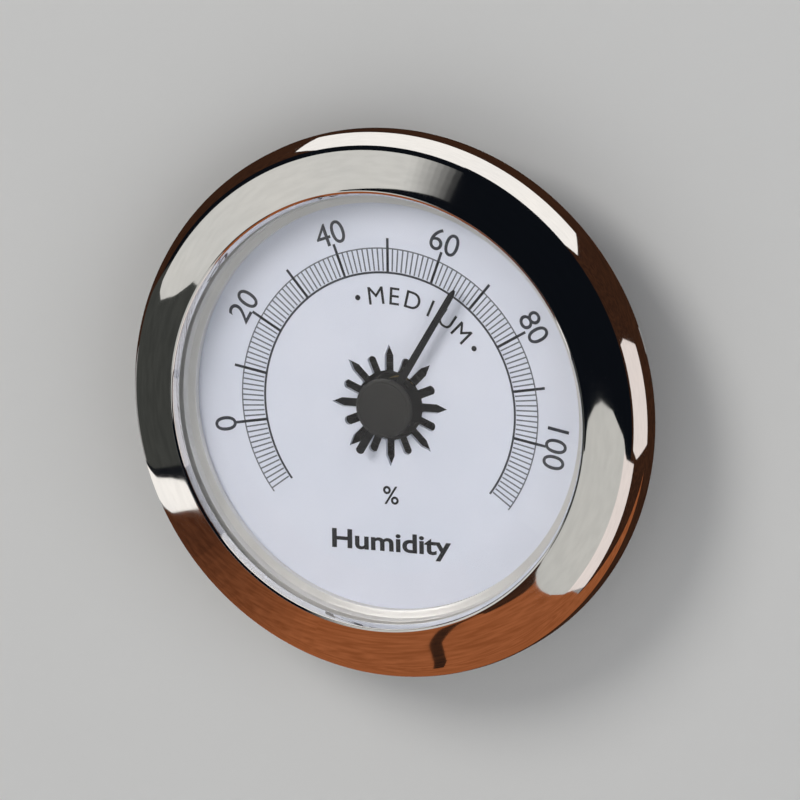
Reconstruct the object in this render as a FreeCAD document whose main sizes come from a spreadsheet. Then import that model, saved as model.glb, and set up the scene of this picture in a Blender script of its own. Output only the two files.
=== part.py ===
"""Dial hygrometer for the inside of a lid: a chromed 50 mm round instrument held by a magnet.

Frame: millimetres, +Z is the dial's 12 o'clock and +X its 3 o'clock. The dial faces -Y.
The origin is the centre of the adhesive pad's back face, the face that sticks to the lid.
"Depth" is the distance from that face towards the reader, so a depth d lies at y = -d.
"""

import FreeCAD, Part
import math
import os
import Sketcher

V = FreeCAD.Vector
doc = FreeCAD.newDocument("dial_hygrometer")
sheet = doc.addObject("Spreadsheet::Sheet", "Dimensions")


class Size:
    """A number that also knows its formula over the sheet's cells."""

    def __init__(self, number, formula=None):
        self.number = float(number)
        self.formula = formula or repr(float(number))

    def combined(self, other, sign, number):
        return Size(number, f"({self.formula} {sign} {other.formula})")

    def __add__(self, other):
        other = as_size(other)
        return self.combined(other, "+", self.number + other.number)

    def __sub__(self, other):
        other = as_size(other)
        return self.combined(other, "-", self.number - other.number)

    def __mul__(self, other):
        other = as_size(other)
        return self.combined(other, "*", self.number * other.number)

    def __truediv__(self, other):
        other = as_size(other)
        return self.combined(other, "/", self.number / other.number)

    def __neg__(self):
        return Size(-self.number, f"(-{self.formula})")


def as_size(value):
    return value if isinstance(value, Size) else Size(value)


def cell(alias, number, note):
    """Write one driving dimension on the sheet and return it."""
    row = str(cell.next_row)
    cell.next_row += 1
    sheet.set("A" + row, note)
    sheet.set("B" + row, str(number))
    sheet.setAlias("B" + row, alias)
    return Size(number, "Dimensions." + alias)


cell.next_row = 1

# --- driving dimensions ---------------------------------------------------------------------

pad_radius = cell("pad_radius", 14.0, "adhesive pad radius")
pad_thickness = cell("pad_thickness", 0.8, "adhesive pad thickness")
steel_disc_radius = cell("steel_disc_radius", 15.0, "keeper disc radius")
steel_disc_thickness = cell("steel_disc_thickness", 0.8, "keeper disc thickness")
small_chamfer = cell("small_chamfer", 0.15, "broken edge on turned and pressed pieces")
overshoot = cell("overshoot", 1.0, "how far a cut runs past the edge it opens")

magnet_radius = cell("magnet_radius", 14.0, "ring magnet radius")
magnet_bore_radius = cell("magnet_bore_radius", 8.0, "ring magnet bore radius")
magnet_thickness = cell("magnet_thickness", 1.8, "ring magnet thickness")
magnet_step = cell("magnet_step", 0.3, "how far the magnet stands out of the case")
glue_gap = cell("glue_gap", 0.1, "gap around the magnet")

case_radius = cell("case_radius", 22.0, "body that enters a 44 mm hole")
case_wall = cell("case_wall", 1.4, "side wall of the case")
case_floor = cell("case_floor", 0.8, "floor of the case behind the magnet")
case_set_in = cell("case_set_in", 1.1, "how far the vented outer back is set forward of the boss")
case_corner = cell("case_corner", 0.8, "bevel of the case's back corner")
boss_radius = cell("boss_radius", 15.4, "boss that holds the magnet")
flange_radius = cell("flange_radius", 24.2, "flange that the bezel is pressed on")
flange_thickness = cell("flange_thickness", 1.1, "flange thickness")
chamber_depth = cell("chamber_depth", 3.0, "space for the coil behind the dial")
vent_count = cell("vent_count", 18, "vent slots in the back")
vent_half_width = cell("vent_half_width", 0.6, "half the width of a vent slot")
vent_inner = cell("vent_inner", 16.8, "radius where a vent slot begins")
vent_outer = cell("vent_outer", 19.6, "radius where a vent slot ends")

dial_radius = cell("dial_radius", 21.5, "dial plate radius")
dial_thickness = cell("dial_thickness", 0.4, "dial plate thickness")
dial_play = cell("dial_play", 0.1, "gap around the dial in its seat")
key_half_width = cell("key_half_width", 0.6, "half the width of the key that stops the dial turning")
key_height = cell("key_height", 0.6, "radial height of that key")
key_root = cell("key_root", 0.4, "how far the key runs into the case's wall")
sunburst_radius = cell("sunburst_radius", 3.2, "round middle of the dial's opening")
long_petal_radius = cell("long_petal_radius", 5.6, "tip of a long petal")
petal_half_width = cell("petal_half_width", 0.42, "half the width of a petal")
petal_overlap = cell("petal_overlap", 0.4, "how far a petal runs into the round middle")
petal_point = cell("petal_point", 1.0, "length of a long petal's pointed end")
short_petal_shoulder = cell("short_petal_shoulder", 4.45, "where a short petal's round end begins")
petal_round = cell("petal_round", 0.46, "radius of a short petal's end")
petal_count = cell("petal_count", 8, "petals of each kind")

bezel_radius = cell("bezel_radius", 25.0, "outside radius of the instrument")
bezel_wall = cell("bezel_wall", 0.8, "thickness of the bezel's metal")
shoulder_curve = cell("shoulder_curve", 3.0, "radius of the shoulder between side wall and face")
face_curve = cell("face_curve", 13.0, "radius of the face's convex section")
crest_curve = cell("crest_curve", 0.3, "radius of the roll from the face into the lip")
face_outer_tilt = cell("face_outer_tilt", 28.8, "slope where shoulder and face meet, degrees")
crest_tilt = cell("crest_tilt", 13.4, "slope where face and roll meet, degrees")
lip_slope = cell("lip_slope", 65.0, "slope of the lip's inner wall, degrees")
lip_radius = cell("lip_radius", 19.57, "bezel's opening where the lip meets the gasket")
front_height = cell("front_height", 3.4, "crest of the bezel above the dial")
relief_radius = cell("relief_radius", 23.0, "inside corner of the bezel's sloping wall")
relief_height = cell("relief_height", 1.4, "that corner above the dial")
seat_outer_radius = cell("seat_outer_radius", 21.3, "outer radius of the flat behind the lip")
hem_radius = cell("hem_radius", 23.3, "inner radius of the edge rolled behind the flange")
hem_thickness = cell("hem_thickness", 0.4, "thickness of the rolled edge")

spacer_height = cell("spacer_height", 1.6, "window seat above the dial")
spacer_radius = cell("spacer_radius", 23.8, "spacer ring radius")
spacer_foot_radius = cell("spacer_foot_radius", 18.6, "spacer's opening at the dial")
spacer_step_radius = cell("spacer_step_radius", 18.95, "spacer's opening below the step")
spacer_top_radius = cell("spacer_top_radius", 19.45, "spacer's opening at the window")
spacer_step_height = cell("spacer_step_height", 0.85, "height of the step")
spacer_ledge_radius = cell("spacer_ledge_radius", 19.3, "outer edge of the step's ledge")
spacer_ledge_rise = cell("spacer_ledge_rise", 0.1, "rise across the ledge")
spacer_rim_width = cell("spacer_rim_width", 0.9, "width of the rim around the window")
spacer_rim_height = cell("spacer_rim_height", 0.3, "height of that rim")
lens_radius = cell("lens_radius", 21.2, "window radius")
lens_thickness = cell("lens_thickness", 0.8, "window thickness")
lens_play = cell("lens_play", 0.1, "gap around the window")
gasket_inner_radius = cell("gasket_inner_radius", 20.0, "gasket opening")
gasket_thickness = cell("gasket_thickness", 0.2, "gasket thickness")

screw_head_radius = cell("screw_head_radius", 4.2, "calibration disc radius")
screw_head_thickness = cell("screw_head_thickness", 1.0, "calibration disc thickness")
screw_head_depth = cell("screw_head_depth", 1.1, "back of the calibration disc behind the magnet's front")
screw_recess_play = cell("screw_recess_play", 0.1, "gap around the calibration disc")
screw_neck_radius = cell("screw_neck_radius", 2.6, "neck that turns in the case")
neck_play = cell("neck_play", 0.05, "running clearance of the neck")
spigot_radius = cell("spigot_radius", 2.2, "riveted end of the calibration screw")
driver_slot_width = cell("driver_slot_width", 0.9, "screwdriver slot width")
driver_slot_depth = cell("driver_slot_depth", 0.5, "screwdriver slot depth")
washer_radius = cell("washer_radius", 4.6, "friction washer radius")
washer_play = cell("washer_play", 0.15, "gap inside the friction washer")
washer_thickness = cell("washer_thickness", 0.25, "friction washer thickness")
carrier_radius = cell("carrier_radius", 6.5, "coil carrier radius")
carrier_thickness = cell("carrier_thickness", 0.5, "coil carrier thickness")
tab_reach = cell("tab_reach", 7.8, "tip of the carrier's stop tab")
tab_root = cell("tab_root", 3.2, "inner end of the stop tab")
tab_half_width = cell("tab_half_width", 0.8, "half the width of the stop tab")
peg_circle = cell("peg_circle", 7.5, "distance of the stop pegs from the axis")
peg_radius = cell("peg_radius", 0.5, "stop peg radius")
peg_height = cell("peg_height", 0.9, "stop peg height")
peg_angle = cell("peg_angle", 46.0, "angle between the tab and each stop peg, degrees")

bush_radius = cell("bush_radius", 1.0, "outside radius of both bearings")
bush_length = cell("bush_length", 1.1, "rear bearing length")
arbor_radius = cell("arbor_radius", 0.45, "pointer arbor radius")
pivot_radius = cell("pivot_radius", 0.25, "rear pivot radius")
bearing_play = cell("bearing_play", 0.03, "running clearance of arbor and pivot")
end_play = cell("end_play", 0.05, "end play of the arbor")
pivot_gap = cell("pivot_gap", 0.2, "space behind the rear pivot")
collet_radius = cell("collet_radius", 1.1, "coil collet radius")
coil_clearance = cell("coil_clearance", 0.25, "coil above its carrier")
coil_width = cell("coil_width", 1.1, "width of the coil's strip")
coil_strip = cell("coil_strip", 0.12, "thickness of the coil's strip")
coil_pitch = cell("coil_pitch", 0.7, "distance between turns")
coil_turns = cell("coil_turns", 6, "full turns of the coil")
stud_radius = cell("stud_radius", 0.35, "coil stud radius")

bridge_thickness = cell("bridge_thickness", 0.4, "bridge strip thickness")
bridge_half_width = cell("bridge_half_width", 1.5, "half the width of the bridge strip")
bridge_gap = cell("bridge_gap", 0.2, "bridge behind the dial")
bridge_crank = cell("bridge_crank", 0.7, "how far the bridge's ends are set back")
crank_outer = cell("crank_outer", 8.2, "outer end of the bridge's crank")
crank_inner = cell("crank_inner", 7.4, "inner end of the bridge's crank")
crank_slant = cell("crank_slant", 0.2, "offset that keeps the crank as thick as the strip")
bridge_eye_radius = cell("bridge_eye_radius", 2.1, "eye around the front bearing")
post_circle = cell("post_circle", 10.0, "distance of the screw posts from the axis")
post_radius = cell("post_radius", 1.6, "screw post radius")
thread_radius = cell("thread_radius", 0.6, "bridge screw shank radius")
screw_hole_play = cell("screw_hole_play", 0.1, "gap around a bridge screw in the strip")
thread_length = cell("thread_length", 1.3, "bridge screw length in the post")
bridge_screw_head_radius = cell("bridge_screw_head_radius", 1.2, "bridge screw head radius")
bridge_screw_head = cell("bridge_screw_head", 0.45, "bridge screw head height")
bridge_screw_slot = cell("bridge_screw_slot", 0.3, "bridge screw slot width")
front_bush_length = cell("front_bush_length", 0.7, "front bearing length")

pointer_height = cell("pointer_height", 0.95, "back of the needle above the dial")
pointer_thickness = cell("pointer_thickness", 0.2, "needle thickness")
pointer_reach = cell("pointer_reach", 13.1, "needle tip from the axis")
pointer_root_half = cell("pointer_root_half", 0.38, "half the needle's width at the hub")
pointer_tip_half = cell("pointer_tip_half", 0.28, "half the needle's width at the tip")
pointer_point = cell("pointer_point", 0.5, "length of the needle's tapered end")
pointer_nose_half = cell("pointer_nose_half", 0.11, "half the width of the needle's blunt nose")
pointer_tail_shoulder = cell("pointer_tail_shoulder", 4.85, "where the tail's round end begins")
pointer_tail_round = cell("pointer_tail_round", 0.44, "radius of the tail's round end")
pointer_eye_radius = cell("pointer_eye_radius", 1.6, "eye of the needle around the hub's boss")
pointer_angle = cell("pointer_angle", 31.4, "needle clockwise from 12 o'clock, degrees")
hub_radius = cell("hub_radius", 2.7, "pointer cap radius")
hub_thickness = cell("hub_thickness", 0.4, "pointer cap thickness")
hub_boss_radius = cell("hub_boss_radius", 0.9, "boss through the needle")
hub_boss_length = cell("hub_boss_length", 0.4, "boss behind the needle")

doc.recompute()

# --- depths that several pieces share ---------------------------------------------------------

disc_back = pad_thickness
magnet_back = disc_back + steel_disc_thickness
case_back = magnet_back + magnet_step
magnet_front = magnet_back + magnet_thickness
floor_front = magnet_front + case_floor
dial_back = floor_front + chamber_depth
dial_front = dial_back + dial_thickness
flange_back = dial_front - flange_thickness
outer_back = case_back + case_set_in
lens_back = dial_front + spacer_height
lens_front = lens_back + lens_thickness
gasket_front = lens_front + gasket_thickness
front = dial_front + front_height

screw_head_back = magnet_front - screw_head_depth
neck_back = screw_head_back + screw_head_thickness
carrier_back = floor_front + washer_thickness
carrier_front = carrier_back + carrier_thickness
coil_back = carrier_front + coil_clearance
coil_front = coil_back + coil_width
bridge_front = dial_back - bridge_gap
bridge_back = bridge_front - bridge_thickness
bridge_foot = bridge_back - bridge_crank
needle_back = dial_front + pointer_height
needle_front = needle_back + pointer_thickness
hub_front = needle_front + hub_thickness

case_inner_radius = case_radius - case_wall
dial_seat_radius = dial_radius + dial_play
quarter_pitch = coil_pitch / 4
coil_start_radius = collet_radius + coil_strip / 2 + quarter_pitch
coil_end = collet_radius + coil_strip / 2 + coil_pitch * coil_turns
stud_circle = coil_end + coil_strip / 2 + stud_radius
origin = Size(0)

# --- building tools ---------------------------------------------------------------------------


def sine(angle):
    """Sine of an angle given in degrees."""
    return Size(math.sin(math.radians(angle.number)), f"sin({angle.formula} * 1deg)")


def cosine(angle):
    return Size(math.cos(math.radians(angle.number)), f"cos({angle.formula} * 1deg)")


def new_body(label):
    body = doc.addObject("PartDesign::Body", label)
    body.Label = label
    return body


def sketch_on(body, plane_role, name, depth=None):
    """A sketch on one of the body's own origin planes, moved to a depth if one is given."""
    sketch = body.newObject("Sketcher::SketchObject", body.Label + "_" + name)
    planes = [plane for plane in body.Origin.OriginFeatures if plane.Role == plane_role]
    sketch.AttachmentSupport = [(planes[0], "")]
    sketch.MapMode = "FlatFace"
    if depth is not None:
        sketch.setExpression("AttachmentOffset.Base.z", depth.formula)
    return sketch


def bound(sketch, kind, size, *where):
    """Add a dimensional constraint and tie it to the sheet."""
    index = sketch.addConstraint(Sketcher.Constraint(kind, *where, size.number))
    sketch.setExpression(f"Constraints[{index}]", size.formula)


def edge_geometry(start, end, curve):
    """A straight edge, or an arc of radius |curve| that bulges left of its run for +, right for -."""
    if curve is None:
        return Part.LineSegment(start, end), 1, 2
    radius = abs(curve.number)
    side = 1 if curve.number > 0 else -1
    chord = end - start
    inset = math.sqrt(radius * radius - chord.Length * chord.Length / 4)
    left = V(-chord.y, chord.x, 0).normalize()
    centre = (start + end) * 0.5 - left * (inset * side)
    begin, finish = (end, start) if side > 0 else (start, end)
    first = math.atan2(begin.y - centre.y, begin.x - centre.x)
    last = math.atan2(finish.y - centre.y, finish.x - centre.x)
    if last < first:
        last += 2 * math.pi
    arc = Part.ArcOfCircle(Part.Circle(centre, V(0, 0, 1), radius), first, last)
    return (arc, 2, 1) if side > 0 else (arc, 1, 2)


def outline(sketch, corners):
    """Closed outline; a corner is (x, y) or (x, y, curve), where curve bends the edge after it."""
    corners = [(as_size(c[0]), as_size(c[1]), c[2] if len(c) > 2 else None) for c in corners]
    points = [V(x.number, y.number, 0) for x, y, _ in corners]
    edges = []
    for i, (_, _, curve) in enumerate(corners):
        shape, first, last = edge_geometry(points[i], points[(i + 1) % len(points)], curve)
        edges.append((sketch.addGeometry(shape, False), first, last, curve))
    for i, (index, first, _, curve) in enumerate(edges):
        before = edges[i - 1]
        sketch.addConstraint(Sketcher.Constraint("Coincident", before[0], before[2], index, first))
        bound(sketch, "DistanceX", corners[i][0], index, first)
        bound(sketch, "DistanceY", corners[i][1], index, first)
        if curve is not None:
            bound(sketch, "Radius", curve if curve.number > 0 else -curve, index)


def circle(sketch, x, y, radius):
    x, y = as_size(x), as_size(y)
    shape = Part.Circle(V(x.number, y.number, 0), V(0, 0, 1), radius.number)
    index = sketch.addGeometry(shape, False)
    bound(sketch, "DistanceX", x, index, 3)
    bound(sketch, "DistanceY", y, index, 3)
    bound(sketch, "Radius", radius, index)


def rectangle(sketch, left, right, low, high):
    outline(sketch, [(left, low), (right, low), (right, high), (left, high)])


def revolve(body, profile):
    """Turn a closed profile of (radius, depth[, curve]) corners about the instrument's axis."""
    sketch = sketch_on(body, "XY_Plane", "profile")
    outline(sketch, [(c[0], -as_size(c[1]), *c[2:]) for c in profile])
    feature = body.newObject("PartDesign::Revolution", body.Label + "_revolution")
    feature.Profile = sketch
    feature.ReferenceAxis = (sketch, ["V_Axis"])
    feature.Angle = 360
    doc.recompute()


def turned(label, profile):
    body = new_body(label)
    revolve(body, profile)
    return body


def ring(label, inner, outer, back, front_depth, chamfer=None):
    """A flat washer or disc with square or broken outer edges."""
    if chamfer is None:
        return turned(label, [(inner, back), (outer, back), (outer, front_depth), (inner, front_depth)])
    corners = [(inner, back), (outer - chamfer, back), (outer, back + chamfer)]
    corners += [(outer, front_depth - chamfer), (outer - chamfer, front_depth), (inner, front_depth)]
    return turned(label, corners)


def pad(body, sketch, length):
    """Raise a sketch towards the reader."""
    feature = body.newObject("PartDesign::Pad", sketch.Label + "_pad")
    feature.Profile = sketch
    feature.setExpression("Length", length.formula)
    doc.recompute()
    return feature


def pocket(body, sketch, length, forward=False):
    """Sink a sketch away from the reader, or towards the reader if forward, and check that it cuts."""
    before = body.Shape.Volume
    feature = body.newObject("PartDesign::Pocket", sketch.Label + "_pocket")
    feature.Profile = sketch
    feature.Reversed = forward
    feature.setExpression("Length", length.formula)
    doc.recompute()
    if body.Shape.Volume > before - 1e-6:
        raise ValueError(sketch.Label + " cuts nothing")
    return feature


def repeated(body, feature, sketch, count):
    """Repeat a feature evenly about the instrument's axis."""
    pattern = body.newObject("PartDesign::PolarPattern", feature.Label + "_pattern")
    pattern.Originals = [feature]
    pattern.Axis = (sketch, ["N_Axis"])
    pattern.Angle = 360
    pattern.setExpression("Occurrences", count.formula)
    body.Tip = pattern
    doc.recompute()


# --- what stays on the lid ----------------------------------------------------------------------


def make_adhesive_pad():
    ring("adhesive_pad", 0, pad_radius, 0, pad_thickness)


def make_steel_disc():
    ring("steel_disc", 0, steel_disc_radius, disc_back, magnet_back, small_chamfer)


# --- the case and what is fixed in it -------------------------------------------------------------


def make_ring_magnet():
    ring("ring_magnet", magnet_bore_radius, magnet_radius, magnet_back, magnet_front, small_chamfer)


def make_rear_case():
    recess_radius = screw_head_radius + screw_recess_play
    hole_radius = screw_neck_radius + neck_play
    body = turned("rear_case", [
        (hole_radius, neck_back), (hole_radius, floor_front),
        (case_inner_radius, floor_front), (case_inner_radius, dial_back),
        (dial_seat_radius, dial_back), (dial_seat_radius, dial_front),
        (flange_radius, dial_front), (flange_radius, flange_back),
        (case_radius, flange_back), (case_radius, outer_back + case_corner),
        (case_radius - case_corner, outer_back), (boss_radius, outer_back),
        (boss_radius - small_chamfer, case_back), (magnet_radius + glue_gap, case_back),
        (magnet_radius + glue_gap, magnet_front), (magnet_bore_radius - glue_gap, magnet_front),
        (magnet_bore_radius - glue_gap, case_back), (recess_radius, case_back),
        (recess_radius, neck_back),
    ])
    add_posts(body)
    add_pegs(body)
    add_dial_key(body)
    cut_vents(body)


def add_posts(body):
    posts = sketch_on(body, "XZ_Plane", "posts", floor_front)
    holes = sketch_on(body, "XZ_Plane", "post_holes", bridge_foot)
    for side in (-1, 1):
        circle(posts, post_circle * side, origin, post_radius)
        circle(holes, post_circle * side, origin, thread_radius)
    pad(body, posts, bridge_foot - floor_front)
    pocket(body, holes, thread_length)


def add_pegs(body):
    """Two pegs limit the calibration by stopping the carrier's tab, which points to 9 o'clock."""
    pegs = sketch_on(body, "XZ_Plane", "pegs", floor_front)
    for side in (-1, 1):
        circle(pegs, -(peg_circle * cosine(peg_angle)), peg_circle * sine(peg_angle) * side, peg_radius)
    pad(body, pegs, peg_height)


def add_dial_key(body):
    key = sketch_on(body, "XZ_Plane", "key", dial_back)
    low, high = -(dial_seat_radius + key_root), -(dial_seat_radius - key_height)
    rectangle(key, -key_half_width, key_half_width, low, high)
    pad(body, key, dial_thickness)


def cut_vents(body):
    vent = sketch_on(body, "XZ_Plane", "vent", floor_front)
    rectangle(vent, vent_inner, vent_outer, -vent_half_width, vent_half_width)
    cut = pocket(body, vent, floor_front - outer_back)
    repeated(body, cut, vent, vent_count)


def make_bezel():
    """Shoulder, convex face and rolled lip run into each other without a crease."""
    hem_back = flange_back - hem_thickness
    inner_radius = bezel_radius - bezel_wall
    turn_radius = bezel_radius - shoulder_curve
    face_outer_radius = turn_radius + shoulder_curve * sine(face_outer_tilt)
    face_centre_radius = face_outer_radius - face_curve * sine(face_outer_tilt)
    crest_radius = face_centre_radius + face_curve * sine(crest_tilt)
    roll_end_radius = crest_radius - crest_curve * (sine(crest_tilt) + sine(lip_slope))
    roll_depth = front - crest_curve
    crest_depth = roll_depth + crest_curve * cosine(crest_tilt)
    roll_end_depth = roll_depth + crest_curve * cosine(lip_slope)
    face_centre_depth = crest_depth - face_curve * cosine(crest_tilt)
    face_outer_depth = face_centre_depth + face_curve * cosine(face_outer_tilt)
    shoulder_depth = face_outer_depth - shoulder_curve * cosine(face_outer_tilt)
    turned("bezel", [
        (hem_radius, flange_back), (hem_radius, hem_back),
        (bezel_radius - small_chamfer, hem_back), (bezel_radius, hem_back + small_chamfer),
        (bezel_radius, shoulder_depth, shoulder_curve),
        (face_outer_radius, face_outer_depth, face_curve),
        (crest_radius, crest_depth, crest_curve),
        (roll_end_radius, roll_end_depth), (lip_radius, gasket_front),
        (seat_outer_radius, gasket_front), (relief_radius, dial_front + relief_height),
        (inner_radius, dial_front), (inner_radius, flange_back),
    ])


def make_lens():
    ring("lens", 0, lens_radius, lens_back, lens_front, small_chamfer)


def make_lens_gasket():
    ring("lens_gasket", gasket_inner_radius, lens_radius - small_chamfer, lens_front, gasket_front)


def make_spacer_ring():
    """The window sits in its rim; the stepped bore is what shows between dial and window."""
    rim_inner = lens_radius + lens_play
    rim_front = lens_back + spacer_rim_height
    step = dial_front + spacer_step_height
    turned("spacer_ring", [
        (spacer_foot_radius, dial_front), (spacer_radius, dial_front),
        (rim_inner + spacer_rim_width, rim_front), (rim_inner, rim_front),
        (rim_inner, lens_back), (spacer_top_radius, lens_back),
        (spacer_ledge_radius, step + spacer_ledge_rise), (spacer_step_radius, step),
    ])


def make_dial():
    body = turned("dial", [
        (0, dial_back), (dial_radius, dial_back), (dial_radius, dial_front), (0, dial_front),
    ])
    cut_key_notch(body)
    cut_sunburst(body)


def cut_key_notch(body):
    notch = sketch_on(body, "XZ_Plane", "notch", dial_front)
    notch_half = key_half_width + dial_play
    rectangle(notch, -notch_half, notch_half, -(dial_radius + overshoot), -(dial_radius - key_height))
    pocket(body, notch, dial_thickness)


def cut_sunburst(body):
    """Opening over the coil: a round middle, eight long pointed petals and eight short round ones."""
    middle = sketch_on(body, "XZ_Plane", "middle", dial_front)
    circle(middle, origin, origin, sunburst_radius)
    pocket(body, middle, dial_thickness)

    root = sunburst_radius - petal_overlap
    long_petal = sketch_on(body, "XZ_Plane", "long_petal", dial_front)
    shoulder = long_petal_radius - petal_point
    outline(long_petal, [
        (-petal_half_width, root), (petal_half_width, root), (petal_half_width, shoulder),
        (0, long_petal_radius), (-petal_half_width, shoulder),
    ])
    repeated(body, pocket(body, long_petal, dial_thickness), long_petal, petal_count)

    short_petal = sketch_on(body, "XZ_Plane", "short_petal", dial_front)
    turn = 180 / petal_count.number
    short_petal.AttachmentOffset = FreeCAD.Placement(V(0, 0, 0), FreeCAD.Rotation(V(0, 0, 1), turn))
    end = short_petal_shoulder
    outline(short_petal, [
        (-petal_half_width, root), (petal_half_width, root),
        (petal_half_width, end, -petal_round), (-petal_half_width, end),
    ])
    repeated(body, pocket(body, short_petal, dial_thickness), short_petal, petal_count)


def make_movement_bridge():
    """A cranked strip: its feet sit on the posts and its middle passes over the coil."""
    body = new_body("movement_bridge")
    strip = sketch_on(body, "XY_Plane", "strip")
    foot_front = bridge_foot + bridge_thickness
    half = [(post_circle, bridge_foot), (crank_outer, bridge_foot), (crank_inner, bridge_back)]
    top = [
        (crank_inner + crank_slant, bridge_front), (crank_outer + crank_slant, foot_front),
        (post_circle, foot_front),
    ]
    right = [(x, -d) for x, d in reversed(half)]
    right_top = [(x, -d) for x, d in reversed(top)]
    left_top = [(-x, -d) for x, d in top]
    left = [(-x, -d) for x, d in half]
    outline(strip, right + right_top + left_top + left)
    feature = body.newObject("PartDesign::Pad", "movement_bridge_strip_pad")
    feature.Profile = strip
    feature.SideType = "Symmetric"
    feature.setExpression("Length", (bridge_half_width * 2).formula)
    doc.recompute()

    ends = sketch_on(body, "XZ_Plane", "ends", bridge_foot)
    holes = sketch_on(body, "XZ_Plane", "holes", bridge_foot + bridge_thickness)
    for side in (-1, 1):
        circle(ends, post_circle * side, origin, bridge_half_width)
        circle(holes, post_circle * side, origin, thread_radius + screw_hole_play)
    pad(body, ends, bridge_thickness)
    pocket(body, holes, bridge_thickness)

    eye = sketch_on(body, "XZ_Plane", "eye", bridge_back)
    circle(eye, origin, origin, bridge_eye_radius)
    pad(body, eye, bridge_thickness)
    bore = sketch_on(body, "XZ_Plane", "bore", bridge_front)
    circle(bore, origin, origin, bush_radius)
    pocket(body, bore, bridge_thickness)


def make_bridge_screws():
    """Two slotted screws as one group of separate solids."""
    head_back = bridge_foot + bridge_thickness
    head_front = head_back + bridge_screw_head
    screws = []
    for name, side in (("left", -1), ("right", 1)):
        shank = cylinder(name + "_shank", thread_radius, bridge_foot - thread_length, head_back)
        head = cylinder(name + "_head", bridge_screw_head_radius, head_back, head_front)
        slot = doc.addObject("Part::Box", name + "_slot")
        slot.setExpression("Length", (bridge_screw_head_radius * 4).formula)
        slot.setExpression("Height", bridge_screw_slot.formula)
        slot.setExpression("Width", (bridge_screw_head / 2).formula)
        slot.setExpression("Placement.Base.x", (-(bridge_screw_head_radius * 2)).formula)
        slot.setExpression("Placement.Base.y", (-head_front).formula)
        slot.setExpression("Placement.Base.z", (-(bridge_screw_slot / 2)).formula)
        whole = doc.addObject("Part::Fuse", name + "_blank")
        whole.Base = shank
        whole.Tool = head
        screw = doc.addObject("Part::Cut", name + "_screw")
        screw.Base = whole
        screw.Tool = slot
        screw.setExpression("Placement.Base.x", (post_circle * side).formula)
        screws.append(screw)
    group = doc.addObject("Part::Compound", "bridge_screws")
    group.Label = "bridge_screws"
    group.Links = screws
    doc.recompute()


def cylinder(name, radius, back, front_depth):
    """A cylinder about the instrument's axis between two depths."""
    shape = doc.addObject("Part::Cylinder", name)
    shape.Placement = FreeCAD.Placement(V(0, 0, 0), FreeCAD.Rotation(V(1, 0, 0), 90))
    shape.setExpression("Radius", radius.formula)
    shape.setExpression("Height", (front_depth - back).formula)
    shape.setExpression("Placement.Base.y", (-back).formula)
    return shape


def make_front_bush():
    front_bush_back = bridge_front - front_bush_length
    ring("front_bush", arbor_radius + bearing_play, bush_radius, front_bush_back, bridge_front)


# --- the calibration screw and what turns with it ---------------------------------------------------


def make_calibration_screw():
    body = turned("calibration_screw", [
        (0, screw_head_back), (screw_head_radius - small_chamfer, screw_head_back),
        (screw_head_radius, screw_head_back + small_chamfer), (screw_head_radius, neck_back),
        (screw_neck_radius, neck_back), (screw_neck_radius, carrier_back),
        (spigot_radius, carrier_back), (spigot_radius, carrier_front),
        (bush_radius, carrier_front), (bush_radius, carrier_front - bush_length),
        (0, carrier_front - bush_length),
    ])
    slot = sketch_on(body, "XZ_Plane", "driver_slot", screw_head_back)
    reach = screw_head_radius + overshoot
    rectangle(slot, -(driver_slot_width / 2), driver_slot_width / 2, -reach, reach)
    pocket(body, slot, driver_slot_depth, forward=True)


def make_friction_washer():
    ring("friction_washer", screw_neck_radius + washer_play, washer_radius, floor_front, carrier_back)


def make_coil_carrier():
    body = ring("coil_carrier", spigot_radius, carrier_radius, carrier_back, carrier_front)
    tab = sketch_on(body, "XZ_Plane", "tab", carrier_back)
    rectangle(tab, -tab_reach, -tab_root, -tab_half_width, tab_half_width)
    pad(body, tab, carrier_thickness)
    hole = sketch_on(body, "XZ_Plane", "stud_hole", carrier_front)
    circle(hole, stud_circle, origin, stud_radius)
    pocket(body, hole, carrier_thickness)


def make_coil_stud():
    body = new_body("coil_stud")
    stud = sketch_on(body, "XZ_Plane", "stud", carrier_back)
    circle(stud, stud_circle, origin, stud_radius)
    pad(body, stud, coil_front - carrier_back)


def make_rear_bush():
    bore = pivot_radius + bearing_play
    ring("rear_bush", bore, bush_radius, carrier_front - bush_length, carrier_front)


def make_humidity_coil():
    """Flat spiral of half-turn arcs about two centres, from the collet out to the stud."""
    node = doc.addObject("Part::Feature", "humidity_coil")
    offset, half_strip = quarter_pitch.number, coil_strip.number / 2
    outer, inner = [], []
    for turn in range(int(coil_turns.number) * 2):
        upper = turn % 2 == 0
        centre = V(-offset if upper else offset, -coil_back.number, 0)
        radius = coil_start_radius.number + turn * coil_pitch.number / 2
        outer.append(half_turn(centre, radius + half_strip, upper))
        inner.append(half_turn(centre, radius - half_strip, upper))
    start = Part.LineSegment(inner[0].StartPoint, outer[0].StartPoint)
    end = Part.LineSegment(outer[-1].EndPoint, inner[-1].EndPoint)
    edges = [curve.toShape() for curve in outer + [end] + inner[::-1] + [start]]
    face = Part.Face(Part.Wire(Part.__sortEdges__(edges)))
    node.Shape = face.extrude(V(0, -coil_width.number, 0))


def half_turn(centre, radius, upper):
    """Half circle in the dial's plane from one side of the centre over the top or bottom."""
    side = 1 if upper else -1
    depth = centre.y
    start = V(centre.x + side * radius, depth, 0)
    middle = V(centre.x, depth, side * radius)
    end = V(centre.x - side * radius, depth, 0)
    return Part.Arc(start, middle, end)


# --- the pointer and what turns with it --------------------------------------------------------------


def make_coil_collet():
    ring("coil_collet", arbor_radius, collet_radius, coil_back, coil_front)


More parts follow.
